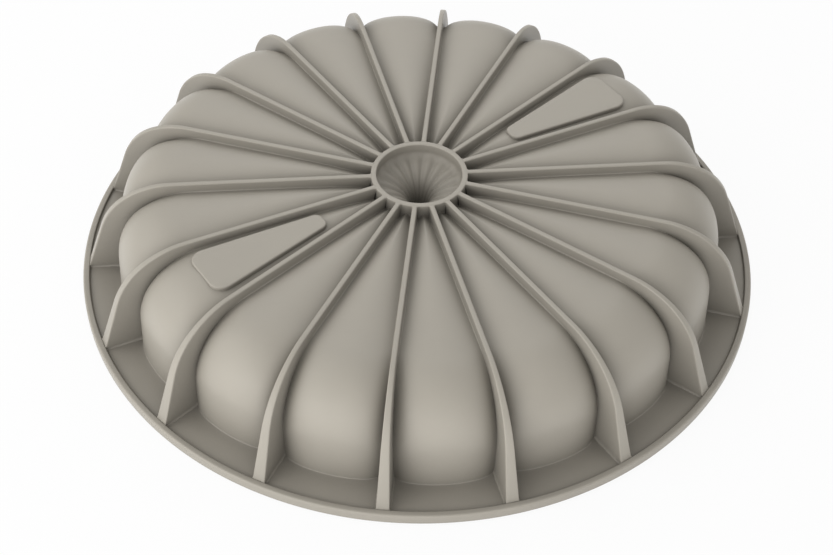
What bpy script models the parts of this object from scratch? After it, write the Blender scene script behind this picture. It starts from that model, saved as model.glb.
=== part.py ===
# Fluted silicone cake mould, lying mouth down with its base up.
# Units are metres and +Z is up. The origin is the centre of the mouth, on the table.

import math

import bmesh
import bpy
from mathutils import Vector

# Plan of the mould
PETAL_COUNT = 18
FIRST_RIB_TURN = math.radians(5.5)
RIM_RADIUS = 0.130
RIM_WIDTH = 0.0025
RIM_HEIGHT = 0.0043
RIM_ROUNDING = 0.0008
FLANGE_WIDTH = 0.0125
FLANGE_HEIGHT = 0.0031
SKIN_THICKNESS = 0.0018

# Base, which is the level of the ring's top and of the flat part of the ribs
BASE_HEIGHT = 0.0423

# Petals: a crest runs down the middle of each and a valley lies between two
CREST_DROP = 0.0015
CREST_SHOULDER_RADIUS = 0.0220
VALLEY_DEPTH = 0.0022
VALLEY_SETBACK = 0.0032
VALLEY_SHOULDER_RADIUS = 0.0268
VALLEY_MARGIN = 0.0009
VALLEY_WIDENING_SHARE = 0.33
PETAL_WALL_DRAFT = math.radians(3.0)
PETAL_FOOT_FILLET = 0.0012
PETAL_RISE_LENGTH = 0.0120
PETAL_RIDGE_LENGTH = 0.0200
PETAL_RIDGE_BULGE = 0.75
PETAL_ARCH_POWER = 2.35

# Ribs, whose tops are level, then fall from a knee to a hip and drop to the rim
RIB_TOP_THICKNESS = 0.00185
RIB_DRAFT = math.radians(2.15)
RIB_KNEE_SETBACK = 0.0160
RIB_KNEE_RADIUS = 0.0300
RIB_HIP_OVERHANG = 0.0016
RIB_HIP_DROP = 0.0072
RIB_HIP_RADIUS = 0.0280

# Ring, and the fluted cone inside it, which narrows to a flat floor
RING_BORE_RADIUS = 0.0162
RING_WIDTH = 0.0021
SEAT_CREST_DROP = 0.0042
SEAT_FLUTE_DEPTH = 0.0016
CONE_MOUTH_DROP = 0.0057
CONE_DEPTH = 0.0125
CONE_THROAT_RADIUS = 0.0025
CONE_FLARE_LENGTH = 0.0041
CONE_FLUTE_DEPTH = 0.0012
CONE_FLUTE_START = 0.0005
CONE_VALLEY_HALF_ANGLE = math.radians(2.0)

# Raised tapered pads on two opposite petals, counted from the first rib
PAD_PETALS = {"marking_pad_a": 10, "marking_pad_b": 1}
PAD_INNER_REACH = 0.0425
PAD_WALL_DISTANCE = 0.0214
PAD_INNER_WIDTH = 0.0070
PAD_OUTER_WIDTH = 0.0230
PAD_INNER_CORNER = 0.0030
PAD_OUTER_CORNER = 0.0050
PAD_TOP_DROP = 0.0008
PAD_CORNER_SHARE = 0.45

# Gap between features that are fused on the real moulding
CLEARANCE = 0.0003

# Warm grey silicone, as linear colour
SILICONE_COLOUR = (0.43, 0.40, 0.34)
SILICONE_ROUGHNESS = 0.55

# Fineness: rows down the cone and along the petals as shares, then steps round the shoulder
OUTSIDE = ((1.0, 0.58, 0.32, 0.16, 0.07, 0.025), (0.06, 0.16, 0.36, 0.68), 6)
INSIDE = ((1.0, 0.42, 0.12), (0.10, 0.40), 4)
ARCH_STEPS = 3
FILLET_STEPS = 2
KNEE_STEPS = 3
RIM_SEGMENTS = 92
CORNER_STEPS = 4

# Worked out from the sizes above
HALF_SECTOR = math.pi / PETAL_COUNT
RIM_INNER_RADIUS = RIM_RADIUS - RIM_WIDTH
FLANGE_RADIUS = RIM_INNER_RADIUS - CLEARANCE
CREST_FOOT_RADIUS = RIM_INNER_RADIUS - FLANGE_WIDTH
VALLEY_FOOT_RADIUS = CREST_FOOT_RADIUS - VALLEY_SETBACK
RIB_KNEE_REACH = CREST_FOOT_RADIUS - RIB_KNEE_SETBACK
RIB_HIP_REACH = CREST_FOOT_RADIUS + RIB_HIP_OVERHANG
PAD_OUTER_REACH = CREST_FOOT_RADIUS - PAD_WALL_DISTANCE
SEAT_INNER_RADIUS = RING_BORE_RADIUS - CLEARANCE
SEAT_OUTER_RADIUS = RING_BORE_RADIUS + RING_WIDTH + CLEARANCE
CREST_HEIGHT = BASE_HEIGHT - CREST_DROP
VALLEY_HEIGHT = CREST_HEIGHT - VALLEY_DEPTH
SEAT_CREST_HEIGHT = BASE_HEIGHT - SEAT_CREST_DROP
SEAT_VALLEY_HEIGHT = SEAT_CREST_HEIGHT - SEAT_FLUTE_DEPTH
CONE_MOUTH_HEIGHT = BASE_HEIGHT - CONE_MOUTH_DROP
CONE_FLOOR_HEIGHT = CONE_MOUTH_HEIGHT - CONE_DEPTH
SEAT_ROW = len(OUTSIDE[0]) + 1
SHOULDER_ROW = SEAT_ROW + len(OUTSIDE[1]) + OUTSIDE[2]
HIP_STEPS = OUTSIDE[2] + FILLET_STEPS - KNEE_STEPS - 1


def clear_scene():
    """Removes every object that is already in the scene."""
    for item in list(bpy.data.objects):
        bpy.data.objects.remove(item, do_unlink=True)


def silicone(name):
    """Matt warm grey silicone."""
    material = bpy.data.materials.new(name)
    material.use_nodes = True
    surface = material.node_tree.nodes["Principled BSDF"]
    surface.inputs["Base Color"].default_value = (*SILICONE_COLOUR, 1.0)
    surface.inputs["Roughness"].default_value = SILICONE_ROUGHNESS
    surface.inputs["Metallic"].default_value = 0.0
    return material


def add_object(name, shape, sharp_angle=30.0):
    """Closes an edit mesh and puts it in the scene as a named object."""
    bmesh.ops.recalc_face_normals(shape, faces=shape.faces)
    mesh = bpy.data.meshes.new(name)
    shape.to_mesh(mesh)
    shape.free()
    mesh.shade_smooth()
    mesh.set_sharp_from_angle(angle=math.radians(sharp_angle))
    mesh.materials.append(silicone(name + "_silicone"))
    item = bpy.data.objects.new(name, mesh)
    bpy.context.scene.collection.objects.link(item)
    return item


def arc(centre, radius, start, turn, steps):
    """Points along an arc of a circle, both ends included."""
    angles = [start + turn * step / steps for step in range(steps + 1)]
    return [(centre[0] + radius * math.cos(angle), centre[1] + radius * math.sin(angle))
            for angle in angles]


def bend(before, corner, after, radius, reach_limit, steps):
    """Arc that rounds a corner, with a radius that its legs have room for."""
    corner = Vector(corner)
    towards_before = (Vector(before) - corner).normalized()
    towards_after = (Vector(after) - corner).normalized()
    opening = towards_before.angle(towards_after)
    radius = min(radius, reach_limit * math.tan(opening / 2))
    reach = radius / math.tan(opening / 2)
    centre = corner + (towards_before + towards_after).normalized() * radius / math.sin(opening / 2)
    first = corner + towards_before * reach - centre
    last = corner + towards_after * reach - centre
    start = math.atan2(first.y, first.x)
    turn = math.atan2(last.y, last.x) - start
    turn = (turn + math.pi) % (2 * math.pi) - math.pi
    return arc(centre, radius, start, turn, steps)


def cone_radius(depth):
    """Radius of the cone, a trumpet that narrows from its mouth towards its throat."""
    flare = SEAT_INNER_RADIUS - CONE_THROAT_RADIUS
    return CONE_THROAT_RADIUS + flare * math.exp(-depth / CONE_FLARE_LENGTH)


def petal_profile(height, seat_height, foot_radius, shoulder_radius, flute_depth,
                  cone_rows, petal_rows, shoulder_steps):
    """Outer profile (radius, height) of the skin, from the cone's floor to the flange's edge."""
    points = []
    for share in cone_rows:
        depth = CONE_DEPTH * share
        radius = cone_radius(depth)
        grown = 1.0 - math.exp(-depth / CONE_FLUTE_START)
        flute = flute_depth * grown * radius / SEAT_INNER_RADIUS
        square = Vector((-CONE_FLARE_LENGTH, radius - CONE_THROAT_RADIUS)).normalized()
        points.append((radius + flute * square.x, CONE_MOUTH_HEIGHT - depth + flute * square.y))
    points.append((SEAT_INNER_RADIUS, CONE_MOUTH_HEIGHT))
    points.append((SEAT_OUTER_RADIUS, seat_height))

    shoulder_centre = (foot_radius - shoulder_radius, height - shoulder_radius)
    run_total = shoulder_centre[0] - SEAT_OUTER_RADIUS
    for share in petal_rows:
        run = run_total * share
        rise = 1.0 - math.exp(-run / PETAL_RISE_LENGTH)
        points.append((SEAT_OUTER_RADIUS + run, seat_height + (height - seat_height) * rise))

    quarter_less_draft = PETAL_WALL_DRAFT - math.pi / 2
    points += arc(shoulder_centre, shoulder_radius, math.pi / 2, quarter_less_draft,
                  shoulder_steps)
    wall_radius, wall_height = points[-1]
    fillet_height = FLANGE_HEIGHT + PETAL_FOOT_FILLET
    wall_foot = wall_radius + (wall_height - fillet_height) * math.tan(PETAL_WALL_DRAFT)
    fillet_centre = (wall_foot + PETAL_FOOT_FILLET, fillet_height)
    points += arc(fillet_centre, PETAL_FOOT_FILLET, math.pi, math.pi / 2, FILLET_STEPS)
    points.append((FLANGE_RADIUS, FLANGE_HEIGHT))
    return points


def crest_profile(*rows):
    """Profile down the middle of a petal."""
    return petal_profile(CREST_HEIGHT, SEAT_CREST_HEIGHT, CREST_FOOT_RADIUS,
                         CREST_SHOULDER_RADIUS, CONE_FLUTE_DEPTH, *rows)


def valley_profile(*rows):
    """Profile along the edge of a petal, where a rib stands."""
    return petal_profile(VALLEY_HEIGHT, SEAT_VALLEY_HEIGHT, VALLEY_FOOT_RADIUS,
                         VALLEY_SHOULDER_RADIUS, 0.0, *rows)


def offset(profile, distance):
    """Moves a profile square to itself, towards the cavity where the distance is positive."""
    moved = []
    for index, point in enumerate(profile):
        before = Vector(profile[max(index - 1, 0)])
        after = Vector(profile[min(index + 1, len(profile) - 1)])
        along = (after - before).normalized()
        moved.append((point[0] + distance * along.y, point[1] - distance * along.x))
    return moved


def rib_half_thickness(height):
    """Half the thickness of a rib, whose sides lean out towards the mouth."""
    return RIB_TOP_THICKNESS / 2 + math.tan(RIB_DRAFT) * (BASE_HEIGHT - height)


def valley_half_angle(radius, height, margin):
    """Half the angle of a valley's flat floor, which keeps its angle under the ring."""
    if radius < SEAT_INNER_RADIUS:
        return CONE_VALLEY_HALF_ANGLE
    if radius < SEAT_OUTER_RADIUS:
        radius, height = SEAT_OUTER_RADIUS, SEAT_VALLEY_HEIGHT
    half_width = rib_half_thickness(height) + CLEARANCE
    room = radius * math.sin(HALF_SECTOR) - half_width
    return math.asin((half_width + min(margin, room * VALLEY_WIDENING_SHARE)) / radius)


def arch(radius, across):
    """Height share of a petal's cross-section: a tent outside the ring, then a full arch."""
    full_arch = (1.0 - (1.0 - across) ** PETAL_ARCH_POWER) ** (1.0 / PETAL_ARCH_POWER)
    if radius < SEAT_INNER_RADIUS:
        return full_arch
    tent = across ** PETAL_RIDGE_BULGE
    tent_share = math.exp(-max(radius - SEAT_OUTER_RADIUS, 0.0) / PETAL_RIDGE_LENGTH)
    return tent * tent_share + full_arch * (1.0 - tent_share)


def petal_section(crest, valley, margin):
    """Points (radius, angle, height) across one petal, from valley to valley over the crest."""
    edge = valley_half_angle(*valley, margin)
    half = []
    for step in range(ARCH_STEPS + 1):
        across = 1.0 - math.cos(math.pi / 2 * step / ARCH_STEPS)
        share = arch(valley[0], across)
        angle = edge + (HALF_SECTOR - edge) * across
        radius = valley[0] + (crest[0] - valley[0]) * share
        height = valley[1] + (crest[1] - valley[1]) * share
        half.append((radius, angle, height))
    mirrored = [(radius, 2 * HALF_SECTOR - angle, height) for radius, angle, height in half]
    return half + mirrored[-2::-1]


def at(radius, angle, height):
    """Point at a radius and an angle from the first rib."""
    turn = angle + FIRST_RIB_TURN
    return Vector((radius * math.cos(turn), radius * math.sin(turn), height))


def ring_of_petals(shape, crest, valley, margin):
    """One closed row of vertices round all the petals."""
    row = []
    for petal in range(PETAL_COUNT):
        for radius, angle, height in petal_section(crest, valley, margin):
            point = at(radius, angle + 2 * HALF_SECTOR * petal, height)
            row.append(shape.verts.new(point))
    return row


def join_rows(shape, first, second):
    """Faces between two closed rows with as many vertices."""
    for index in range(len(first)):
        after = (index + 1) % len(first)
        shape.faces.new((first[index], first[after], second[after], second[index]))


def close_row(shape, row):
    """Fan of faces that closes a row of vertices over its middle."""
    middle = shape.verts.new(sum((corner.co for corner in row), Vector()) / len(row))
    for index, corner in enumerate(row):
        shape.faces.new((corner, row[(index + 1) % len(row)], middle))


def make_cavity_shell():
    """Thin skin of petals, centre cone and flange: an outside and a cavity side, lofted."""
    shape = bmesh.new()
    outside = [ring_of_petals(shape, crest, valley, VALLEY_MARGIN)
               for crest, valley in zip(crest_profile(*OUTSIDE), valley_profile(*OUTSIDE))]
    crest_inside = offset(crest_profile(*INSIDE), SKIN_THICKNESS)
    valley_inside = offset(valley_profile(*INSIDE), SKIN_THICKNESS)
    tip = (cone_radius(CONE_DEPTH), CONE_FLOOR_HEIGHT - SKIN_THICKNESS)
    crest_inside.insert(0, tip)
    valley_inside.insert(0, tip)
    inside = [ring_of_petals(shape, crest, valley, VALLEY_MARGIN + SKIN_THICKNESS)
              for crest, valley in zip(crest_inside, valley_inside)]
    for rows in (outside, inside):
        for first, second in zip(rows, rows[1:]):
            join_rows(shape, first, second)
        close_row(shape, rows[0])
    join_rows(shape, outside[-1], inside[-1])
    bmesh.ops.triangulate(shape, faces=shape.faces)
    return add_object("cavity_shell", shape)


def rib_lines():
    """Foot and top of a rib (radius, height), with as many points each, from ring to rim."""
    foot = offset(valley_profile(*OUTSIDE), -CLEARANCE)[SEAT_ROW:]
    foot[0] = (SEAT_OUTER_RADIUS, SEAT_VALLEY_HEIGHT + CLEARANCE)
    foot[-1] = (FLANGE_RADIUS, FLANGE_HEIGHT + CLEARANCE)

    top = [(radius, BASE_HEIGHT) for radius, _ in foot[:len(OUTSIDE[1]) + 2]]
    knee = (RIB_KNEE_REACH, BASE_HEIGHT)
    hip = (RIB_HIP_REACH, BASE_HEIGHT - RIB_HIP_DROP)
    outer_top = (FLANGE_RADIUS, RIM_HEIGHT)
    between = (Vector(hip) - Vector(knee)).length
    knee_share = RIB_KNEE_RADIUS / (RIB_KNEE_RADIUS + 2 * RIB_HIP_RADIUS)
    top += bend(top[-1], knee, hip, RIB_KNEE_RADIUS, between * knee_share, KNEE_STEPS)
    top += bend(knee, hip, outer_top, RIB_HIP_RADIUS, between * (1 - knee_share), HIP_STEPS)
    top.append(outer_top)
    return foot, top


def make_rib(number):
    """Upright rib with drafted sides, standing in one valley."""
    shape = bmesh.new()
    foot, top = rib_lines()
    turn = FIRST_RIB_TURN + 2 * HALF_SECTOR * number
    out = Vector((math.cos(turn), math.sin(turn), 0.0))
    sideways = Vector((-math.sin(turn), math.cos(turn), 0.0))
    lines = []
    for line, side in ((foot, -1.0), (top, -1.0), (top, 1.0), (foot, 1.0)):
        lines.append([shape.verts.new(out * radius + Vector((0, 0, height))
                                      + sideways * side * rib_half_thickness(height))
                      for radius, height in line])
    for near, far in zip(lines, lines[1:] + lines[:1]):
        for index in range(len(near) - 1):
            shape.faces.new((near[index], near[index + 1], far[index + 1], far[index]))
    shape.faces.new([line[0] for line in lines])
    shape.faces.new([line[-1] for line in lines])
    bmesh.ops.triangulate(shape, faces=shape.faces)
    return add_object("rib_%02d" % (number + 1), shape)


def seat_height_at(radius, outer_height):
    """Height between the seat's inner edge, at the cone's mouth, and its outer edge."""
    share = (radius - SEAT_INNER_RADIUS) / (SEAT_OUTER_RADIUS - SEAT_INNER_RADIUS)
    return CONE_MOUTH_HEIGHT + (outer_height - CONE_MOUTH_HEIGHT) * share


def make_base_ring():
    """Raised band whose underside follows the seat, from a level bore to fluted outside."""
    shape = bmesh.new()
    crest = (SEAT_OUTER_RADIUS, SEAT_CREST_HEIGHT)
    valley = (SEAT_OUTER_RADIUS, SEAT_VALLEY_HEIGHT)
    outer_radius = RING_BORE_RADIUS + RING_WIDTH
    rows = [[], [], [], []]
    for petal in range(PETAL_COUNT):
        for _, angle, height in petal_section(crest, valley, VALLEY_MARGIN):
            angle += 2 * HALF_SECTOR * petal
            corners = ((RING_BORE_RADIUS, seat_height_at(RING_BORE_RADIUS, height) + CLEARANCE),
                       (RING_BORE_RADIUS, BASE_HEIGHT),
                       (outer_radius, BASE_HEIGHT),
                       (outer_radius, seat_height_at(outer_radius, height) + CLEARANCE))
            for row, (radius, level) in zip(rows, corners):
                row.append(shape.verts.new(at(radius, angle, level)))
    for first, second in zip(rows, rows[1:] + rows[:1]):
        join_rows(shape, first, second)
    bmesh.ops.triangulate(shape, faces=shape.faces)
    return add_object("base_ring", shape)


def make_rim_lip():
    """Bead round the flange, turned from a rounded section with a flat underside."""
    quarter = math.pi / 2
    upper = (RIM_RADIUS - RIM_ROUNDING, RIM_HEIGHT - RIM_ROUNDING)
    lower = (RIM_RADIUS - RIM_ROUNDING, RIM_ROUNDING)
    section = [(RIM_INNER_RADIUS, RIM_HEIGHT)]
    section += arc(upper, RIM_ROUNDING, quarter, -quarter, 2)
    section += arc(lower, RIM_ROUNDING, 0.0, -quarter, 2)
    section.append((RIM_INNER_RADIUS, 0.0))
    shape = bmesh.new()
    corners = [shape.verts.new((radius, 0.0, height)) for radius, height in section]
    pairs = zip(corners, corners[1:] + corners[:1])
    edges = [shape.edges.new(pair) for pair in pairs]
    bmesh.ops.spin(shape, geom=edges, axis=(0, 0, 1), cent=(0, 0, 0), angle=2 * math.pi,
                   steps=RIM_SEGMENTS, use_merge=True, use_duplicate=False)
    return add_object("rim_lip", shape)


def pad_outline():
    """Plan (reach, across) of a pad: a taper with four rounded corners."""
    corners = [(PAD_INNER_REACH, -PAD_INNER_WIDTH / 2), (PAD_OUTER_REACH, -PAD_OUTER_WIDTH / 2),
               (PAD_OUTER_REACH, PAD_OUTER_WIDTH / 2), (PAD_INNER_REACH, PAD_INNER_WIDTH / 2)]
    rounding = [(PAD_INNER_CORNER, PAD_INNER_WIDTH), (PAD_OUTER_CORNER, PAD_OUTER_WIDTH),
                (PAD_OUTER_CORNER, PAD_OUTER_WIDTH), (PAD_INNER_CORNER, PAD_INNER_WIDTH)]
    points = []
    for index, (radius, width) in enumerate(rounding):
        after = corners[(index + 1) % 4]
        points += bend(corners[index - 1], corners[index], after, radius,
                       width * PAD_CORNER_SHARE, CORNER_STEPS)
    return points


def make_pad_bed(name, petal):
    """Guide solid: one petal's top, raised by the clearance, which the pad's underside follows."""
    rows = zip(crest_profile(*OUTSIDE), valley_profile(*OUTSIDE))
    shape = bmesh.new()
    grid = []
    for crest, valley in list(rows)[SEAT_ROW:SHOULDER_ROW]:
        section = petal_section(crest, valley, VALLEY_MARGIN)
        grid.append([shape.verts.new(at(radius, angle + 2 * HALF_SECTOR * petal,
                                        height + CLEARANCE))
                     for radius, angle, height in section])
    for near, far in zip(grid, grid[1:]):
        for index in range(len(near) - 1):
            quad = (near[index], far[index], far[index + 1], near[index + 1])
            shape.faces.new(quad)
    bmesh.ops.triangulate(shape, faces=shape.faces)
    block = bmesh.ops.extrude_face_region(shape, geom=list(shape.faces))
    for item in block["geom"]:
        if isinstance(item, bmesh.types.BMVert):
            item.co.z = 0.0
    bed = add_object(name, shape)
    bed.hide_render = True
    bed.display_type = "WIRE"
    return bed


def make_marking_pad(name, petal):
    """Flat-topped raised plate along a petal's crest."""
    shape = bmesh.new()
    middle = FIRST_RIB_TURN + HALF_SECTOR * (2 * petal + 1)
    out = Vector((math.cos(middle), math.sin(middle), 0.0))
    sideways = Vector((-math.sin(middle), math.cos(middle), 0.0))
    levels = []
    for height in (VALLEY_HEIGHT, BASE_HEIGHT - PAD_TOP_DROP):
        levels.append([shape.verts.new(out * reach + sideways * across + Vector((0, 0, height)))
                       for reach, across in pad_outline()])
    shape.faces.new(levels[0])
    shape.faces.new(levels[1])
    join_rows(shape, levels[0], levels[1])
    pad = add_object(name, shape)
    seat = pad.modifiers.new("seat on petal", "BOOLEAN")
    seat.operation = "DIFFERENCE"
    seat.solver = "EXACT"
    seat.object = make_pad_bed(name + "_bed", petal)
    return pad


def main():
    """Builds every feature of the mould."""
    clear_scene()
    make_cavity_shell()
    for number in range(PETAL_COUNT):
        make_rib(number)
    make_base_ring()
    make_rim_lip()
    for name, petal in PAD_PETALS.items():
        make_marking_pad(name, petal)


main()
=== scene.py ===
# Fluted silicone cake mould, lying mouth down on a table with its base up.
# Finer surfaces and a silicone finish, with painted shade in its recesses, stand in for the
# imported solids, on the same lines.
# Units are metres and +Z is up.

import math

import bpy
import numpy as np
from bpy.props import FloatProperty, FloatVectorProperty, IntProperty, PointerProperty
from mathutils import Matrix, Vector


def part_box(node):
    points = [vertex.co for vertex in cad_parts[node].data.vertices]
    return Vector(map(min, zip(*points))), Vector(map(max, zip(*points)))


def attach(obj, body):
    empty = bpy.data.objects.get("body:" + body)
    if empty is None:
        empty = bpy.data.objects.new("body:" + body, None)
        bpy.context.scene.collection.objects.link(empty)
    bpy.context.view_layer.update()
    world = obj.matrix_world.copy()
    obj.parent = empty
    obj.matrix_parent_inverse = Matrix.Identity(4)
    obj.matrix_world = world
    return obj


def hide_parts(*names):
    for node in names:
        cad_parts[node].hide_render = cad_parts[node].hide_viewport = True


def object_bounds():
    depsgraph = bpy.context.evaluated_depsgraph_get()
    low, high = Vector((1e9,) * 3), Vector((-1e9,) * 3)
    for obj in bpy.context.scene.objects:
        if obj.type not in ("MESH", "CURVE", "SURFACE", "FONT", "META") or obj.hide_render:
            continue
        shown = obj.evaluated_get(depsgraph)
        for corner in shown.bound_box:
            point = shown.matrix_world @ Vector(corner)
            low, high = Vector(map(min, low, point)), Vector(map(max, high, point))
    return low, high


bl_info = {
    "name": "Fluted Silicone Cake Mould",
    "version": (1, 0, 0),
    "blender": (4, 5, 0),
    "location": "3D View > Sidebar > Cake Mould",
    "description": "Makes the petals, ribs, ring, rim and pads of a fluted silicone cake mould",
    "category": "Object",
}

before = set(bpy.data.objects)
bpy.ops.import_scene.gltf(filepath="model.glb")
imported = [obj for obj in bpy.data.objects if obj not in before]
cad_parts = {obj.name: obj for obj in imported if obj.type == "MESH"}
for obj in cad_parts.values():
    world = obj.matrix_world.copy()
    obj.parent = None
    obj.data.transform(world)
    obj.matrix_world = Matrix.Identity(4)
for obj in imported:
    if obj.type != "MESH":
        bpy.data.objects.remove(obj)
CAD_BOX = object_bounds()
RING_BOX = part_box("base_ring")
BODY = "root"
PHOTO_WIDTH = 833

# Steps of the grids that the surfaces are worked out on.
HALF_PETAL_STEPS = 16
MOUTH_STEPS = 12
CONE_STEPS = 24
SEAT_STEPS = 2
FLAT_STEPS = 30
SHOULDER_STEPS = 20
WALL_STEPS = 7
FOOT_STEPS = 6
FLANGE_STEPS = 6
RIB_PART_POINTS = 26
RIB_SIDE_STEPS = 26
RIB_BEND_STEPS = 16
RING_EDGE_STEPS = 5
RING_SEGMENTS = 252
RIM_INNER_STEPS = 4
RIM_TOP_STEPS = 5
RIM_OUTER_STEPS = 7
RIM_SEGMENTS = 360
PAD_CORNER_STEPS = 8
PAD_EDGE_STEPS = 5
PAD_POINTS = 160

# How steps crowd: powers of even shares, and shares of the way from a pad's edge to its spine.
FLAT_CROWDING = 1.4
RIB_CROWDING = 1.9
PAD_SHARES = (0.3, 0.6, 0.9)

# How far neighbouring parts reach past or into each other, in metres.
SEAT_PAST_RING = 0.0003
CONE_PAST_BORE = 0.0002
FLANGE_IN_RIM = 0.0006
RIB_IN_RING = 0.0002
RIB_IN_RIM = 0.0010

ROOM_PARTS = 3  # a widening beside a rib takes at most one part in this many of the room there
CORNER_LIMIT = 0.9  # share of a pad's half width that a rounded corner may take
SHARP_EDGE = math.radians(50.0)
# Samples for the painted shade, which darkens the colour in creases and recesses by the sky they
# see.
PAINTED_SHADE_SAMPLES = 8
COLOUR_DETAIL = 3.0
GRAIN_DETAIL = 2.0

# Name, bearing from +X and climb in degrees, and the setting that holds the power.
LAMPS = (("soft lamp behind", 90.0, 40.0, "back_power"),
         ("soft lamp left", 180.0, 40.0, "left_power"),
         ("low soft lamp", 225.0, 12.0, "low_power"),
         ("front soft lamp", 270.0, 12.0, "front_power"))
LAMP_SIZE = 0.7
SENSOR_WIDTH = 36.0
NEAREST_SEEN = 0.01
FLOOR_REACH = 3.0
FLOOR_LEVEL = -0.0001
FLOOR_ROUGHNESS = 0.9
FLOOR_WHITE_SHARE = 0.92


def length(label, default, description):
    """A distance in metres, shown as one in the panel."""
    return FloatProperty(name=label, description=description, default=default, min=0.0,
                         unit="LENGTH", subtype="DISTANCE", precision=5)


def turn(label, default, description):
    """An angle, kept in radians and shown in degrees."""
    return FloatProperty(name=label, description=description, default=math.radians(default),
                         unit="ROTATION", subtype="ANGLE")


def number(label, default, description):
    """A plain number."""
    return FloatProperty(name=label, description=description, default=default, precision=4)


def colour(label, default, description):
    """A linear colour."""
    return FloatVectorProperty(name=label, description=description, default=default,
                               size=3, min=0.0, max=1.0, subtype="COLOR")


class PetalSizes(bpy.types.PropertyGroup):
    """Sizes of the petals, the cone and the flange."""
    count: IntProperty(name="Petals", description="Petals round the mould", default=18, min=3)
    first_rib: turn("First rib", 5.5, "Angle from +X to the first rib")
    base_height: length("Base height", CAD_BOX[1][2], "Level of the ring's top")
    skin: length("Skin", 0.0018, "Thickness of the skin")
    crest_drop: length("Crest drop", 0.0015, "Crest of a petal below the base")
    valley_depth: length("Valley depth", 0.0022, "Valley between petals below their crests")
    crest_foot: length("Crest foot", 0.1150, "Radius of a petal's wall down its middle")
    crest_shoulder: length("Crest shoulder", 0.0220, "Shoulder rounding down a petal's middle")
    valley_foot: length("Valley foot", 0.1118, "Radius of the wall between two petals")
    valley_shoulder: length("Valley shoulder", 0.0268, "Shoulder rounding between two petals")
    wall_draft: turn("Wall draft", 3.0, "Slope of the petals' walls")
    valley_margin: length("Valley margin", 0.0005, "Flat floor of a valley beside its rib")
    foot_fillet: length("Foot fillet", 0.0004, "Rounding where a wall meets the flange")
    rise: length("Rise", 0.0120, "Length over which a petal grows out of the ring")
    ridge: length("Ridge", 0.0200, "Length over which a petal's ridge turns into a round arch")
    bulge: number("Ridge bulge", 0.75, "Power of the ridge's sides near the ring")
    bow_power: number("Bow power", 2.1, "Power of the bow across a petal's flat part")
    bow_end: length("Bow end", 0.0800, "Radius up to which a petal is only bowed across")
    arch_start: length("Arch start", 0.1080, "Radius from which it is a full arch across")
    arch_power: number("Arch power", 2.35, "Power of that arch, 2 for a round")
    flange_height: length("Flange height", 0.0031, "Level of the flange's top")
    seat_drop: length("Seat drop", 0.0042, "Crest at the ring below the base")
    seat_flute: length("Seat flute", 0.0016, "Valley at the ring below the crest there")
    mouth_drop: length("Cone mouth drop", 0.0057, "Cone's mouth below the base")
    cone_depth: length("Cone depth", 0.0125, "Floor of the cone below its mouth")
    cone_throat: length("Cone throat", 0.0025, "Radius that the cone narrows towards")
    cone_flare: length("Cone flare", 0.0041, "Depth over which the cone narrows")
    cone_flute: length("Cone flute", 0.0012, "Depth of the cone's flutes at its mouth")
    flute_start: length("Flute start", 0.0005, "Depth over which the flutes begin")
    cone_valley: turn("Cone valley", 2.0, "Half the angle between two of the cone's flutes")
    mouth_fillet: length("Mouth fillet", 0.0024, "Hollow between the ring's bore and the cone")
    crease: length("Crease", 0.0005, "Softness of the crease between a petal and a rib")


class RibSizes(bpy.types.PropertyGroup):
    """Sizes of the standing ribs."""
    thickness: length("Thickness", 0.00185, "Thickness at the base")
    draft: turn("Draft", 2.15, "Slope of each side")
    knee_reach: length("Knee reach", 0.0990, "Radius where the top starts to fall")
    knee_radius: length("Knee radius", 0.0300, "Rounding of that bend")
    hip_reach: length("Hip reach", 0.1166, "Radius of the second bend")
    hip_drop: length("Hip drop", 0.0072, "Second bend below the base")
    hip_radius: length("Hip radius", 0.0280, "Rounding of the second bend")
    edge: length("Edge", 0.00045, "Rounding of the top edges")
    root: length("Root", 0.0006, "Fillet along the foot")
    joint: length("Joint", 0.0004, "Fillet at the ring and at the rim")
    sunk: length("Sunk", 0.0009, "Depth of the root in the skin")


class RingSizes(bpy.types.PropertyGroup):
    """Sizes of the base ring and the rim."""
    bore: length("Bore", 0.0162, "Inner radius of the ring")
    outside: length("Ring outside", RING_BOX[1][0], "Outer radius of the ring")
    edge: length("Ring edge", 0.0004, "Rounding of the ring's edges")
    rim_radius: length("Rim radius", CAD_BOX[1][0], "Outer radius of the rim")
    rim_width: length("Rim width", 0.0025, "Width of the rim")
    rim_height: length("Rim height", 0.0043, "Height of the rim")
    rim_rounding: length("Rim rounding", 0.0008, "Rounding of the rim's outer edges")
    rim_inner_rounding: length("Rim inner rounding", 0.0005, "Rounding of its inner top edge")


class PadSizes(bpy.types.PropertyGroup):
    """Sizes of the two raised pads."""
    first: IntProperty(name="First petal", description="Petal of pad A", default=10)
    second: IntProperty(name="Second petal", description="Petal of pad B", default=1)
    inner_reach: length("Inner reach", 0.0425, "Radius of the narrow end")
    outer_reach: length("Outer reach", 0.0936, "Radius of the wide end")
    inner_width: length("Inner width", 0.0070, "Width of the narrow end")
    outer_width: length("Outer width", 0.0230, "Width of the wide end")
    inner_corner: length("Inner corner", 0.0030, "Corner rounding of the narrow end")
    outer_corner: length("Outer corner", 0.0050, "Corner rounding of the wide end")
    drop: length("Top drop", 0.0008, "Top of the pads below the base")
    edge: length("Edge", 0.0006, "Rounding of the top edge")


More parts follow.
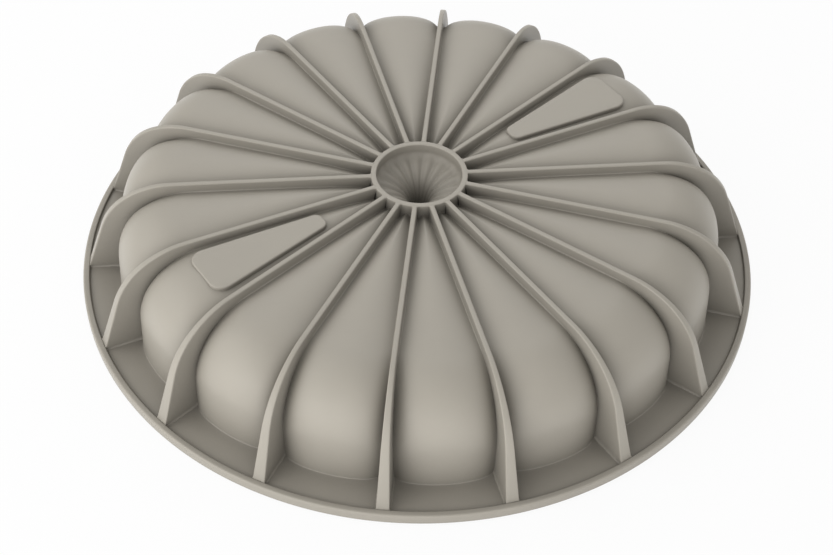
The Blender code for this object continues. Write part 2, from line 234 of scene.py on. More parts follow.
class SiliconeLook(bpy.types.PropertyGroup):
    """Finish of the silicone, and the painted shade that darkens its colour in recesses."""
    body: colour("Silicone", (0.335, 0.310, 0.265), "Warm grey of the moulding")
    # Painted shade: the colour is darkened in creases and recesses by the share of sky they see, to
    # this power.
    painted_shade_power: number("Recess power", 0.4, "Power of the sky's share that dims a recess")
    painted_shade_reach: length("Recess reach", 0.080, "How far off a wall still makes a recess")
    mottle: number("Mottle", 0.04, "Share by which the colour drifts")
    mottle_size: length("Mottle size", 0.012, "Size of the drifts of colour")
    grain_size: length("Grain size", 0.00035, "Size of the moulded grain")
    grain_depth: length("Grain depth", 0.000012, "Height of the moulded grain")
    roughness: number("Roughness", 0.50, "Mean roughness")
    roughness_drift: number("Roughness drift", 0.06, "Change of roughness over the surface")
    gloss: number("Gloss", 0.35, "Strength of the reflections, 0.5 for most plastics")


class StageLook(bpy.types.PropertyGroup):
    """Camera, lamps and floor."""
    camera: FloatVectorProperty(name="Camera", description="Place of the camera",
                                default=(0.0, -0.4424, 0.4422), size=3, subtype="XYZ",
                                unit="LENGTH")
    yaw: turn("Yaw", -0.034, "Camera's turn from +Y towards +X")
    pitch: turn("Pitch", -45.888, "Camera's tilt from level")
    roll: turn("Roll", 1.180, "Camera's roll")
    focal_pixels: number("Focal length", 1582.3, "Focal length in pixels of the picture")
    back_power: number("Back", 2.40, "Power of the soft lamp behind the mould, in watts")
    left_power: number("Left", 2.25, "Power of the soft lamp at the left, in watts")
    low_power: number("Low", 4.70, "Power of the low soft lamp at the front left, in watts")
    front_power: number("Front", 2.65, "Power of the low soft lamp in front, in watts")
    sky: number("Sky", 0.67, "Strength of the light from all round")
    glow: number("Glow", 0.70, "Strength of the light that a lit white table sends up")
    floor: colour("Floor", (0.80, 0.80, 0.80), "Colour of the floor")


def closed_mesh(name, points, close_sides):
    """Mesh of a grid of points whose columns close on themselves.

    Each square joins a point, its neighbour in the row and the two behind them in the next row.
    The first and last rows are closed by triangles to their mean point, or, where close_sides is
    set, the last row joins the first. The signed volume says whether faces point out.
    """
    rows, columns = points.shape[:2]
    index = np.arange(rows * columns).reshape(rows, columns)
    if close_sides:
        near, far = index, np.roll(index, -1, axis=0)
    else:
        near, far = index[:-1], index[1:]
    quads = np.stack([near, np.roll(near, -1, axis=1), np.roll(far, -1, axis=1), far], -1)
    faces = quads.reshape(-1, 4)
    triangles = np.concatenate([faces[:, [0, 1, 2]], faces[:, [0, 2, 3]]])
    vertices = points.reshape(-1, 3)
    if not close_sides:
        ends = np.array([points[0].mean(axis=0), points[-1].mean(axis=0)])
        vertices = np.concatenate([vertices, ends])
        first = np.full(columns, rows * columns)
        caps = np.concatenate([
            np.stack([np.roll(index[0], -1), index[0], first], -1),
            np.stack([index[-1], np.roll(index[-1], -1), first + 1], -1)])
        triangles = np.concatenate([triangles, caps])
    corners = vertices[triangles]
    volume = np.einsum("ij,ij->i", corners[:, 0], np.cross(corners[:, 1], corners[:, 2])).sum()
    step = 1 if volume > 0 else -1
    polygons = faces[:, ::step].tolist()
    if not close_sides:
        polygons += caps[:, ::step].tolist()
    mesh = bpy.data.meshes.new(name)
    mesh.from_pydata(vertices.tolist(), [], polygons)
    mesh.validate()
    mesh.shade_smooth()
    mesh.set_sharp_from_angle(angle=SHARP_EDGE)
    return mesh


def mould_sizes(context):
    """Sizes of the petals, of the ribs and of the ring and rim."""
    scene = context.scene
    return scene.petal_sizes, scene.rib_sizes, scene.ring_sizes


def add_piece(name, mesh, material, node):
    """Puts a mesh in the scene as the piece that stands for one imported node."""
    piece = bpy.data.objects.new(name, mesh)
    bpy.context.scene.collection.objects.link(piece)
    mesh.materials.append(material)
    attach(piece, BODY)
    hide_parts(node)


def arc(centre, radius, start, angle, steps):
    """Centre plus the radius times the cosine and sine of evenly spaced angles."""
    angles = start + angle * np.linspace(0.0, 1.0, steps + 1)
    return np.stack([centre[0] + radius * np.cos(angles), centre[1] + radius * np.sin(angles)], 1)


def bend(before, corner, after, radius, limit, steps):
    """Arc that touches both legs of a corner, no further along them than the limit."""
    before, corner, after = np.array(before), np.array(corner), np.array(after)
    towards = (before - corner) / np.linalg.norm(before - corner)
    away = (after - corner) / np.linalg.norm(after - corner)
    half = math.acos(float(np.dot(towards, away))) / 2
    radius = min(radius, limit * math.tan(half))
    middle = (towards + away) / np.linalg.norm(towards + away)
    centre = corner + middle * radius / math.sin(half)
    first = corner + towards * radius / math.tan(half) - centre
    last = corner + away * radius / math.tan(half) - centre
    start = math.atan2(first[1], first[0])
    angle = math.atan2(last[1], last[0]) - start
    angle = (angle + math.pi) % (2 * math.pi) - math.pi
    return arc(centre, radius, start, angle, steps)


def resampled(path, shares):
    """A path's points at the given shares of its length."""
    steps = np.linalg.norm(np.diff(path, axis=0), axis=1)
    along = np.concatenate([[0.0], np.cumsum(steps)])
    wanted = along[-1] * shares
    return np.stack([np.interp(wanted, along, path[:, axis]) for axis in range(path.shape[1])], 1)


def rounding(distance, radius):
    """How far a round of that radius stands back at a distance from its edge."""
    inside = np.clip(radius - distance, 0.0, radius)
    return radius - np.sqrt(radius ** 2 - inside ** 2)


def petal_profile(petal, ring, height, seat_height, foot, shoulder, flute, filleted):
    """Radius and height down the skin, from the cone's floor to the flange's edge.

    The cone's radius is the throat's plus the flare times e to the minus depth over the flare's
    length. Where filleted is one and not nought, a hollow fillet joins it to the ring's bore. Its
    flutes stand square to it, in step with its radius, and begin with one minus e to the minus
    depth over their start. The petal rises from its seat to its height by one minus e to the
    minus run over its length. Then come a quarter-round shoulder, a sloping wall, a fillet and
    the flange.
    """
    seat_outer = ring.outside + SEAT_PAST_RING
    mouth = petal.base_height - petal.mouth_drop
    widest = ring.bore - petal.cone_throat
    reach = petal.mouth_fillet * (1.0 - np.cos(np.linspace(math.pi / 2, 0.0, MOUTH_STEPS + 1)))
    shallow = -petal.cone_flare * np.log(1.0 - reach / widest)
    upward = np.linspace(0.0, 1.0, CONE_STEPS + 1)[:-1]
    deep = petal.cone_depth + (shallow[0] - petal.cone_depth) * upward
    depth = np.concatenate([deep, shallow])
    flare = widest * np.exp(-depth / petal.cone_flare)
    radius = petal.cone_throat + flare
    square = np.stack([np.full_like(flare, -petal.cone_flare), flare], 1)
    square /= np.linalg.norm(square, axis=1)[:, None]
    flutes = flute * radius / ring.bore * (1.0 - np.exp(-depth / petal.flute_start))
    height_there = mouth - depth + filleted * hollow(ring.bore - radius, petal.mouth_fillet)
    cone = np.stack([radius, height_there], 1) + flutes[:, None] * square
    seat = np.stack([np.linspace(ring.bore + SEAT_PAST_RING, seat_outer, SEAT_STEPS + 1),
                     np.linspace(height_there[-1], seat_height, SEAT_STEPS + 1)], 1)

    centre = (foot - shoulder, height - shoulder)
    even = np.linspace(0.0, 1.0, FLAT_STEPS + 1)[1:-1]
    run = (centre[0] - seat_outer) * even ** FLAT_CROWDING
    climb = 1.0 - np.exp(-run / petal.rise)
    flat = np.stack([seat_outer + run, seat_height + (height - seat_height) * climb], 1)
    round_over = arc(centre, shoulder, math.pi / 2, petal.wall_draft - math.pi / 2,
                     SHOULDER_STEPS)

    fillet_height = petal.flange_height + petal.foot_fillet
    drop = np.linspace(0.0, 1.0, WALL_STEPS + 1)[1:, None]
    wall_foot = round_over[-1, 0] + (round_over[-1, 1] - fillet_height) * math.tan(petal.wall_draft)
    wall = round_over[-1] + drop * (np.array([wall_foot, fillet_height]) - round_over[-1])
    fillet = arc((wall_foot + petal.foot_fillet, fillet_height), petal.foot_fillet,
                 math.pi, math.pi / 2, FOOT_STEPS)[1:]
    edge = ring.rim_radius - ring.rim_width + FLANGE_IN_RIM
    flange = np.stack([np.linspace(fillet[-1, 0], edge, FLANGE_STEPS + 1)[1:],
                       np.full(FLANGE_STEPS, petal.flange_height)], 1)
    return np.concatenate([cone, seat, flat, round_over, wall, fillet, flange])


def hollow(distance, radius):
    """How far a hollow fillet of that radius stands out at a distance from the wall."""
    short = radius - np.clip(distance, 0.0, radius)
    return radius - np.sqrt(radius ** 2 - short ** 2)


def crest_and_valley(petal, ring, filleted):
    """The profiles down a petal's middle and down the line between two petals."""
    crest_height = petal.base_height - petal.crest_drop
    seat = petal.base_height - petal.seat_drop
    crest = petal_profile(petal, ring, crest_height, seat, petal.crest_foot,
                          petal.crest_shoulder, petal.cone_flute, filleted)
    valley = petal_profile(petal, ring, crest_height - petal.valley_depth,
                           seat - petal.seat_flute, petal.valley_foot, petal.valley_shoulder,
                           0.0, filleted)
    return crest, valley


def offset(profile, distance):
    """Each point moved square to the line through its neighbours, into the cavity if positive."""
    padded = np.concatenate([profile[:1], profile, profile[-1:]])
    along = padded[2:] - padded[:-2]
    along /= np.linalg.norm(along, axis=1)[:, None]
    return profile + distance * np.stack([along[:, 1], -along[:, 0]], 1)


def rib_half_thickness(rib, petal, height):
    """Half the thickness at the base plus the draft's tangent times the depth below it."""
    return rib.thickness / 2 + math.tan(rib.draft) * (petal.base_height - height)


def petal_points(petal, rib, ring, crest, valley, widening):
    """Grid of the skin: rows down the profiles, columns round all the petals.

    Across half a petal, the distance past the valley's flat floor is softened at the crease and
    divided by the room up to the crest. A curve turns that into a share of the way from the
    valley's point to the crest's: a parabola in the cone, a tent that fades into a bow outside
    the ring, and from the shoulder on a full arch, each with its power.
    """
    half_sector = math.pi / petal.count
    seat_outer = ring.outside + SEAT_PAST_RING
    in_cone = valley[:, :1] < ring.bore + CONE_PAST_BORE
    under_ring = valley[:, :1] < seat_outer
    radius = np.where(under_ring, seat_outer, valley[:, :1])
    seat_valley = petal.base_height - petal.seat_drop - petal.seat_flute
    height = np.where(under_ring, seat_valley, valley[:, 1:])
    half_width = rib_half_thickness(rib, petal, height)
    room = radius * half_sector - half_width
    half_width = half_width + np.minimum(widening, room / ROOM_PARTS)
    half_width = np.where(in_cone, radius * petal.cone_valley, half_width)
    quarter = math.pi / 2 * np.linspace(0.0, 1.0, HALF_PETAL_STEPS + 1)
    angle = half_sector * (1.0 - np.cos(quarter))
    past = petal.crease * np.logaddexp(0.0, (radius * angle - half_width) / petal.crease)
    across = np.clip(past / (radius * half_sector - half_width), 0.0, 1.0)

    bow = 1.0 - (1.0 - across) ** petal.bow_power
    full_arch = (1.0 - (1.0 - across) ** petal.arch_power) ** (1.0 / petal.arch_power)
    turning = np.clip((radius - petal.bow_end) / (petal.arch_start - petal.bow_end), 0.0, 1.0)
    turning = turning ** 2 * (3.0 - 2.0 * turning)
    tent_share = np.exp(-(radius - seat_outer) / petal.ridge)
    share = (across ** petal.bulge * tent_share
             + (full_arch * turning + bow * (1.0 - turning)) * (1.0 - tent_share))
    share = np.where(in_cone, 1.0 - (1.0 - across) ** 2, share)
    radii = valley[:, :1] + (crest[:, :1] - valley[:, :1]) * share
    heights = valley[:, 1:] + (crest[:, 1:] - valley[:, 1:]) * share
    radii = np.concatenate([radii, radii[:, -2:0:-1]], 1)
    heights = np.concatenate([heights, heights[:, -2:0:-1]], 1)
    angles = np.concatenate([angle, 2 * half_sector - angle[-2:0:-1]])
    turns = petal.first_rib + angles[None] + 2 * half_sector * np.arange(petal.count)[:, None]
    turns = turns.reshape(1, -1)
    radii = np.tile(radii, (1, petal.count))
    heights = np.tile(heights, (1, petal.count))
    return np.stack([radii * np.cos(turns), radii * np.sin(turns), heights], -1)


def silicone(name, look):
    """Matt silicone: a faint drift of colour and roughness, and a fine moulded grain.

    Painted shade: the colour is darkened in creases and recesses by the share of the sky that they
    see, to a power.
    """
    material = bpy.data.materials.new(name)
    material.use_nodes = True
    nodes = material.node_tree.nodes
    links = material.node_tree.links
    surface = nodes["Principled BSDF"]
    surface.inputs["Base Color"].default_value = (*look.body, 1.0)
    surface.inputs["Roughness"].default_value = look.roughness
    surface.inputs["Specular IOR Level"].default_value = look.gloss
    place = nodes.new("ShaderNodeTexCoord")

    def noise(size, detail):
        """Noise whose features are of a given size on the object."""
        texture = nodes.new("ShaderNodeTexNoise")
        texture.inputs["Scale"].default_value = 1.0 / size
        texture.inputs["Detail"].default_value = detail
        links.new(place.outputs["Object"], texture.inputs["Vector"])
        return texture

    drift = noise(look.mottle_size, COLOUR_DETAIL)
    ramp = nodes.new("ShaderNodeMix")
    ramp.data_type = "RGBA"
    body = np.array(look.body)
    ramp.inputs["A"].default_value = (*(body * (1.0 - look.mottle)), 1.0)
    ramp.inputs["B"].default_value = (*(body * (1.0 + look.mottle)), 1.0)
    links.new(drift.outputs["Fac"], ramp.inputs["Factor"])

    # Painted shade: the colour is darkened where little sky reaches, in creases and recesses.
    shade_ao = nodes.new("ShaderNodeAmbientOcclusion")
    shade_ao.samples = PAINTED_SHADE_SAMPLES
    shade_ao.inputs["Distance"].default_value = look.painted_shade_reach
    shade_strength = nodes.new("ShaderNodeMath")
    shade_strength.operation = "POWER"
    shade_strength.inputs[1].default_value = look.painted_shade_power
    links.new(shade_ao.outputs["AO"], shade_strength.inputs[0])
    shaded_colour = nodes.new("ShaderNodeMix")
    shaded_colour.data_type = "RGBA"
    shaded_colour.blend_type = "MULTIPLY"
    shaded_colour.inputs["Factor"].default_value = 1.0
    links.new(ramp.outputs["Result"], shaded_colour.inputs["A"])
    links.new(shade_strength.outputs["Value"], shaded_colour.inputs["B"])
    links.new(shaded_colour.outputs["Result"], surface.inputs["Base Color"])

    polish = nodes.new("ShaderNodeMapRange")
    polish.inputs["To Min"].default_value = look.roughness - look.roughness_drift
    polish.inputs["To Max"].default_value = look.roughness + look.roughness_drift
    links.new(drift.outputs["Fac"], polish.inputs["Value"])
    links.new(polish.outputs["Result"], surface.inputs["Roughness"])

    grain = noise(look.grain_size, GRAIN_DETAIL)
    bump = nodes.new("ShaderNodeBump")
    bump.inputs["Distance"].default_value = look.grain_depth
    links.new(grain.outputs["Fac"], bump.inputs["Height"])
    links.new(bump.outputs["Normal"], surface.inputs["Normal"])
    return material


class MOULD_OT_shell(bpy.types.Operator):
    """Makes the thin skin of petals, cone and flange, its inside on every second row"""
    bl_idname = "mould.shell"
    bl_label = "Petals and Cone"

    def execute(self, context):
        petal, rib, ring = mould_sizes(context)
        crest, valley = crest_and_valley(petal, ring, 1.0)
        margin = petal.valley_margin
        outside = petal_points(petal, rib, ring, crest, valley, margin)
        inner_crest, inner_valley = [offset(profile, petal.skin)[::2]
                                     for profile in crest_and_valley(petal, ring, 0.0)]
        inside = petal_points(petal, rib, ring, inner_crest, inner_valley, margin + petal.skin)
        tip = outside[:1].copy()
        tip[..., 2] -= petal.skin
        mesh = closed_mesh("cavity_shell_visual",
                           np.concatenate([outside, inside[::-1], tip]), False)
        look = silicone("petal silicone", context.scene.silicone_look)
        add_piece("cavity_shell_visual", mesh, look, "cavity_shell")
        return {"FINISHED"}


def rib_curves(petal, rib, ring):
    """The rib's top line and its sunk foot line, matched point for point.

    Each line is cut where the petals' shoulders start and where the rib's last bend ends, and
    matching pieces get as many steps, closer together near the ring and the rim.
    """
    inner = ring.outside - RIB_IN_RING
    outer_top = (ring.rim_radius - ring.rim_width, ring.rim_height)
    top_start = (inner, petal.base_height)
    knee = (rib.knee_reach, petal.base_height)
    hip = (rib.hip_reach, petal.base_height - rib.hip_drop)
    between = math.dist(knee, hip)
    knee_share = rib.knee_radius / (rib.knee_radius + 2 * rib.hip_radius)
    knee_arc = bend(top_start, knee, hip, rib.knee_radius, between * knee_share,
                    RIB_BEND_STEPS)
    hip_arc = bend(knee, hip, outer_top, rib.hip_radius, between * (1.0 - knee_share),
                   RIB_BEND_STEPS)
    slope = np.array(outer_top) - hip_arc[-1]
    end = np.array(outer_top) + slope / np.linalg.norm(slope) * RIB_IN_RIM
    valley = offset(crest_and_valley(petal, ring, 1.0)[1], rib.sunk)
    valley = valley[valley[:, 0] > inner]
    shoulder = petal.valley_foot - petal.valley_shoulder
    start = int(np.argmax(valley[:, 0] > shoulder))
    wall = int(np.argmax(valley[:, 1] < petal.base_height - petal.valley_shoulder))
    top_turn = (valley[start, 0], petal.base_height)
    top = [np.array([top_start, top_turn]), np.concatenate([[top_turn], knee_arc, hip_arc]),
           np.array([hip_arc[-1], end])]
    foot = [valley[:start + 1], valley[start:wall + 1], valley[wall:]]
    even = np.linspace(0.0, 1.0, RIB_PART_POINTS)
    crowded = (even ** RIB_CROWDING, even, 1.0 - (1.0 - even) ** RIB_CROWDING)
    return [np.concatenate([resampled(piece, shares)[:-1] for piece, shares in zip(parts, crowded)]
                           + [parts[-1][-1:]]) for parts in (top, foot)]


def distance_to(points, line):
    """Distance of every point from a line of straight pieces, the least over its pieces."""
    along = line[1:] - line[:-1]
    offsets = points[..., None, :] - line[:-1]
    share = np.clip((offsets * along).sum(-1) / (along ** 2).sum(-1), 0.0, 1.0)
    return np.linalg.norm(offsets - share[..., None] * along, axis=-1).min(axis=-1)


class MOULD_OT_ribs(bpy.types.Operator):
    """Makes the standing ribs"""
    bl_idname = "mould.ribs"
    bl_label = "Ribs"

    def execute(self, context):
        petal, rib, ring = mould_sizes(context)
        top, foot = rib_curves(petal, rib, ring)
        rise = (1.0 - np.cos(math.pi * np.linspace(0.0, 1.0, RIB_SIDE_STEPS + 1))) / 2
        side = foot[:, None] + (top - foot)[:, None] * rise[:, None]
        drafted = rib_half_thickness(rib, petal, side[..., 1])
        room = side[..., 0] * math.pi / petal.count - drafted
        root = np.minimum(rib.root, room / ROOM_PARTS)
        inner_rim = ring.rim_radius - ring.rim_width
        half = (drafted - rounding(distance_to(side, top), rib.edge)
                + hollow(distance_to(side, foot) - rib.sunk, root)
                + hollow(side[..., 0] - ring.outside, rib.joint)
                + hollow(inner_rim - side[..., 0], rib.joint))
        look = silicone("rib silicone", context.scene.silicone_look)
        for index in range(petal.count):
            angle = petal.first_rib + 2 * math.pi / petal.count * index
            out = np.array([math.cos(angle), math.sin(angle), 0.0])
            sideways = np.array([-math.sin(angle), math.cos(angle), 0.0])
            middle = side[..., :1] * out + side[..., 1:] * np.array([0.0, 0.0, 1.0])
            left = middle - half[..., None] * sideways
            right = middle + half[..., None] * sideways
            name = "rib_%02d" % (index + 1)
            mesh = closed_mesh(name + "_visual", np.concatenate([left, right[:, ::-1]], 1), False)
            add_piece(name + "_visual", mesh, look, name)
        return {"FINISHED"}


def turned(name, section, segments):
    """Mesh of a closed section carried round the Z axis."""
    angles = 2 * math.pi / segments * np.arange(segments)
    radius = section[:, None, 0]
    height = np.broadcast_to(section[:, None, 1], (len(section), segments))
    points = np.stack([radius * np.cos(angles), radius * np.sin(angles), height], -1)
    return closed_mesh(name, points, True)


class MOULD_OT_ring(bpy.types.Operator):
    """Makes the ring at the base, on the fluted seat"""
    bl_idname = "mould.ring"
    bl_label = "Base Ring"

    def execute(self, context):
        petal, _, ring = mould_sizes(context)
        level = petal.base_height - ring.edge
        quarter = math.pi / 2
        outer = arc((ring.outside - ring.edge, level), ring.edge, 0.0, quarter, RING_EDGE_STEPS)
        inner = arc((ring.bore + ring.edge, level), ring.edge, quarter, quarter, RING_EDGE_STEPS)
        seat = petal.base_height - petal.seat_drop - petal.seat_flute
        mouth = petal.base_height - petal.mouth_drop + petal.mouth_fillet
        section = np.concatenate([[[ring.outside, seat]], outer, inner,
                                  [[ring.bore, mouth - petal.skin / 2]]])
        mesh = turned("base_ring_visual", section, RING_SEGMENTS)
        look = silicone("ring silicone", context.scene.silicone_look)
        add_piece("base_ring_visual", mesh, look, "base_ring")
        return {"FINISHED"}


class MOULD_OT_rim(bpy.types.Operator):
    """Makes the bead round the flange"""
    bl_idname = "mould.rim"
    bl_label = "Rim"

    def execute(self, context):
        petal, _, ring = mould_sizes(context)
        quarter = math.pi / 2
        inner = ring.rim_radius - ring.rim_width
        round_outer = ring.rim_radius - ring.rim_rounding
        small = ring.rim_inner_rounding
        section = np.concatenate([
            arc((inner - small, petal.flange_height + small), small, -quarter, quarter,
                RIM_INNER_STEPS),
            arc((inner + small, ring.rim_height - small), small, math.pi, -quarter,
                RIM_TOP_STEPS),
            arc((round_outer, ring.rim_height - ring.rim_rounding), ring.rim_rounding,
                quarter, -quarter, RIM_OUTER_STEPS),
            arc((round_outer, ring.rim_rounding), ring.rim_rounding, 0.0, -quarter,
                RIM_OUTER_STEPS),
            [[inner, 0.0], [inner, petal.flange_height - petal.skin]],
            [[inner - small, petal.flange_height - petal.skin / 2]]])
        mesh = turned("rim_lip_visual", section, RIM_SEGMENTS)
        look = silicone("rim silicone", context.scene.silicone_look)
        add_piece("rim_lip_visual", mesh, look, "rim_lip")
        return {"FINISHED"}


def pad_outline(pad):
    """Plan of a pad: four corners of a taper, each rounded by an arc, with even steps between."""
    inner, outer = pad.inner_width / 2, pad.outer_width / 2
    corners = [(pad.inner_reach, -inner), (pad.outer_reach, -outer),
               (pad.outer_reach, outer), (pad.inner_reach, inner)]
    radii = (pad.inner_corner, pad.outer_corner, pad.outer_corner, pad.inner_corner)
    limits = [width * CORNER_LIMIT for width in (inner, outer, outer, inner)]
    points = [bend(corners[index - 1], corners[index], corners[(index + 1) % 4],
                   radii[index], limits[index], PAD_CORNER_STEPS) for index in range(4)]
    loop = np.concatenate(points + [points[0][:1]])
    return resampled(loop, np.linspace(0.0, 1.0, PAD_POINTS + 1))[:-1]


def within_skin(petal, rib, ring, plan):
    """Level of the skin's middle under points of a petal that is turned to lie along +X.

    Each point takes the nearest point of the skin's outside, less half the skin's thickness.
    """
    crest, valley = crest_and_valley(petal, ring, 1.0)
    crest, valley = [profile[valley[:, 0] > ring.outside] for profile in (crest, valley)]
    skin = petal_points(petal, rib, ring, crest, valley, petal.valley_margin)
    skin = skin[:, :2 * HALF_PETAL_STEPS].reshape(-1, 3)
    middle = petal.first_rib + math.pi / petal.count
    along = skin[:, 0] * math.cos(middle) + skin[:, 1] * math.sin(middle)
    sideways = skin[:, 1] * math.cos(middle) - skin[:, 0] * math.sin(middle)
    far = (plan[..., :1] - along) ** 2 + (plan[..., 1:] - sideways) ** 2
    return skin[far.argmin(axis=-1), 2:] - petal.skin / 2


class MOULD_OT_pads(bpy.types.Operator):
    """Makes the two raised tapered pads, with plain tops"""
    bl_idname = "mould.pads"
    bl_label = "Pads"

    def execute(self, context):
        petal, rib, ring = mould_sizes(context)
        pad = context.scene.pad_sizes
        outline = pad_outline(pad)
        ahead = np.roll(outline, -1, axis=0) - np.roll(outline, 1, axis=0)
        ahead /= np.linalg.norm(ahead, axis=1)[:, None]
        inward = np.stack([-ahead[:, 1], ahead[:, 0]], 1)
        top = petal.base_height - pad.drop
        spine = np.stack([np.clip(outline[:, 0], pad.inner_reach + pad.inner_corner,
                                  pad.outer_reach - pad.outer_corner), outline[:, 1] * 0.0], 1)
        rows = []
        for share in (*PAD_SHARES[::-1], 0.0):
            plan = outline + (spine - outline) * share
            rows.append(np.concatenate([plan, within_skin(petal, rib, ring, plan)], 1))
        for angle in math.pi / 2 * np.linspace(0.0, 1.0, PAD_EDGE_STEPS + 1):
            plan = outline + inward * pad.edge * (1.0 - math.cos(angle))
            level = np.full_like(plan[:, :1], top - pad.edge * (1.0 - math.sin(angle)))
            rows.append(np.concatenate([plan, level], 1))
        inner_plan = rows[-1][:, :2]
        for share in PAD_SHARES:
            plan = inner_plan + (spine - inner_plan) * share
            rows.append(np.concatenate([plan, np.full_like(plan[:, :1], top)], 1))
        rows = np.array(rows)
        look = silicone("pad silicone", context.scene.silicone_look)
        for name, place in (("marking_pad_a", pad.first), ("marking_pad_b", pad.second)):
            angle = petal.first_rib + math.pi / petal.count * (2 * place + 1)
            x = rows[..., 0] * math.cos(angle) - rows[..., 1] * math.sin(angle)
            y = rows[..., 0] * math.sin(angle) + rows[..., 1] * math.cos(angle)
            mesh = closed_mesh(name + "_visual", np.stack([x, y, rows[..., 2]], -1), False)
            add_piece(name + "_visual", mesh, look, name)
        return {"FINISHED"}


def area_lamp(name, bearing, climb, power):
    """Square soft lamp a metre off, at angles in degrees from +X and up, facing the mould."""
    lamp = bpy.data.lights.new(name, "AREA")
    lamp.size = LAMP_SIZE
    lamp.energy = power
    holder = bpy.data.objects.new(name, lamp)
    across = math.cos(math.radians(climb))
    place = Vector((math.cos(math.radians(bearing)) * across,
                    math.sin(math.radians(bearing)) * across, math.sin(math.radians(climb))))
    holder.location = place
    holder.rotation_euler = place.to_track_quat("Z", "Y").to_euler()
    bpy.context.scene.collection.objects.link(holder)


class MOULD_OT_stage(bpy.types.Operator):
    """Makes the floor, the lamps and the camera"""
    bl_idname = "mould.stage"
    bl_label = "Stage"

    def execute(self, context):
        stage = context.scene.stage_look
        lens = bpy.data.cameras.new("camera")
        lens.sensor_width = SENSOR_WIDTH
        lens.lens = stage.focal_pixels / PHOTO_WIDTH * SENSOR_WIDTH
        lens.clip_start = NEAREST_SEEN
        camera = bpy.data.objects.new("camera", lens)
        context.scene.collection.objects.link(camera)
        ahead = Vector((math.sin(stage.yaw) * math.cos(stage.pitch),
                        math.cos(stage.yaw) * math.cos(stage.pitch), math.sin(stage.pitch)))
        level = Vector((math.cos(stage.yaw), -math.sin(stage.yaw), 0.0))
        above = level.cross(ahead)
        right = math.cos(stage.roll) * level + math.sin(stage.roll) * above
        up = math.cos(stage.roll) * above - math.sin(stage.roll) * level
        pose = Matrix((right, up, -ahead)).transposed().to_4x4()
        pose.translation = Vector(stage.camera)
        camera.matrix_world = pose
        context.scene.camera = camera

        for name, bearing, climb, power in LAMPS:
            area_lamp(name, bearing, climb, getattr(stage, power))
        world = bpy.data.worlds.new("soft room")
        context.scene.world = world
        world.use_nodes = True
        backdrop_light(world.node_tree, stage.sky)

        corners = [(x * FLOOR_REACH, y * FLOOR_REACH, FLOOR_LEVEL)
                   for x, y in ((-1, -1), (1, -1), (1, 1), (-1, 1))]
        mesh = bpy.data.meshes.new("floor")
        mesh.from_pydata(corners, [], [(0, 1, 2, 3)])
        floor = bpy.data.objects.new("floor", mesh)
        context.scene.collection.objects.link(floor)
        mesh.materials.append(floor_material(stage))
        context.scene.view_settings.view_transform = "Standard"
        return {"FINISHED"}


def seen_directly(tree):
    """One where the camera sees a surface, straight on or through something clear."""
    path = tree.nodes.new("ShaderNodeLightPath")
    total = tree.nodes.new("ShaderNodeMath")
    total.operation = "MAXIMUM"
    tree.links.new(path.outputs["Is Camera Ray"], total.inputs[0])
    tree.links.new(path.outputs["Is Transmission Ray"], total.inputs[1])
    return total.outputs["Value"]


def backdrop_light(tree, strength):
    """White where it is seen, and a softer light on the mould."""
    background = tree.nodes["Background"]
    background.inputs["Color"].default_value = (1.0, 1.0, 1.0, 1.0)
    level = tree.nodes.new("ShaderNodeMapRange")
    level.inputs["To Min"].default_value = strength
    level.inputs["To Max"].default_value = 1.0
    tree.links.new(seen_directly(tree), level.inputs["Value"])
    tree.links.new(level.outputs["Result"], background.inputs["Strength"])


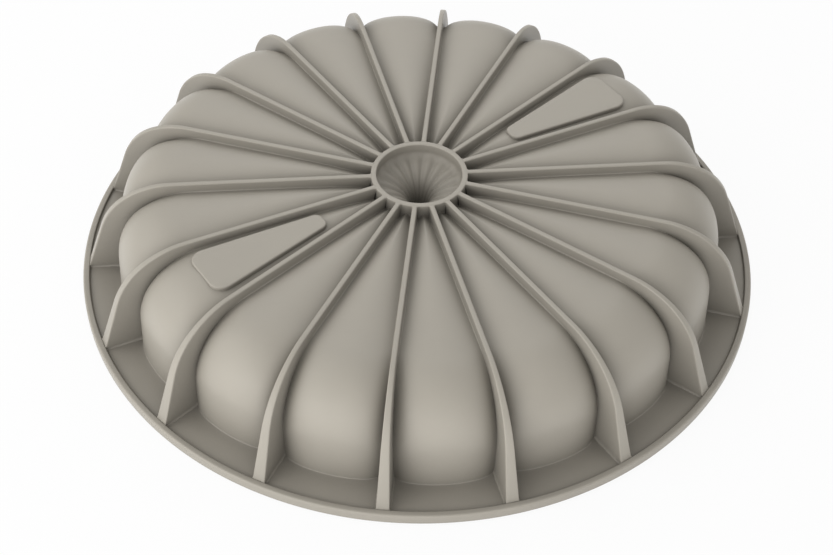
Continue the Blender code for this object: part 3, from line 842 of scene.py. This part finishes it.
def floor_material(stage):
    """Pale floor that is seen as white, with a soft trace of the mould's shadow."""
    material = bpy.data.materials.new("floor")
    material.use_nodes = True
    tree = material.node_tree
    paper = tree.nodes["Principled BSDF"]
    paper.inputs["Base Color"].default_value = (*stage.floor, 1.0)
    paper.inputs["Roughness"].default_value = FLOOR_ROUGHNESS
    paper.inputs["Specular IOR Level"].default_value = 0.0
    paper.inputs["Emission Color"].default_value = (1.0, 1.0, 1.0, 1.0)
    glow = tree.nodes.new("ShaderNodeMapRange")
    glow.inputs["To Min"].default_value = stage.glow
    glow.inputs["To Max"].default_value = 0.0
    tree.links.new(seen_directly(tree), glow.inputs["Value"])
    tree.links.new(glow.outputs["Result"], paper.inputs["Emission Strength"])
    white = tree.nodes.new("ShaderNodeEmission")
    mix = tree.nodes.new("ShaderNodeMixShader")
    share = tree.nodes.new("ShaderNodeMath")
    share.operation = "MULTIPLY"
    share.inputs[1].default_value = FLOOR_WHITE_SHARE
    tree.links.new(seen_directly(tree), share.inputs[0])
    tree.links.new(share.outputs["Value"], mix.inputs["Fac"])
    tree.links.new(paper.outputs["BSDF"], mix.inputs[1])
    tree.links.new(white.outputs["Emission"], mix.inputs[2])
    tree.links.new(mix.outputs["Shader"], tree.nodes["Material Output"].inputs["Surface"])
    return material


OPERATORS = (MOULD_OT_shell, MOULD_OT_ribs, MOULD_OT_ring, MOULD_OT_rim, MOULD_OT_pads,
             MOULD_OT_stage)
GROUPS = {"petal_sizes": PetalSizes, "rib_sizes": RibSizes, "ring_sizes": RingSizes,
          "pad_sizes": PadSizes, "silicone_look": SiliconeLook, "stage_look": StageLook}


class MOULD_PT_panel(bpy.types.Panel):
    """Sizes, finishes and makers of the cake mould"""
    bl_idname = "MOULD_PT_panel"
    bl_label = "Cake Mould"
    bl_space_type = "VIEW_3D"
    bl_region_type = "UI"
    bl_category = "Cake Mould"

    def draw(self, context):
        for operator in OPERATORS:
            self.layout.operator(operator.bl_idname)
        for name, group in GROUPS.items():
            box = self.layout.box()
            box.label(text=name.replace("_", " ").capitalize())
            for size in group.__annotations__:
                box.prop(getattr(context.scene, name), size)


def register():
    """Adds the classes to Blender and the settings to the scene."""
    for item in (*GROUPS.values(), *OPERATORS, MOULD_PT_panel):
        bpy.utils.register_class(item)
    for name, group in GROUPS.items():
        setattr(bpy.types.Scene, name, PointerProperty(type=group))


def unregister():
    """Takes the settings and the classes away again."""
    for name in GROUPS:
        delattr(bpy.types.Scene, name)
    for item in reversed((*GROUPS.values(), *OPERATORS, MOULD_PT_panel)):
        bpy.utils.unregister_class(item)


def main():
    """Makes the mould and its stage."""
    register()
    bpy.ops.mould.shell()
    bpy.ops.mould.ribs()
    bpy.ops.mould.ring()
    bpy.ops.mould.rim()
    bpy.ops.mould.pads()
    bpy.ops.mould.stage()


if __name__ == "__main__":
    main()
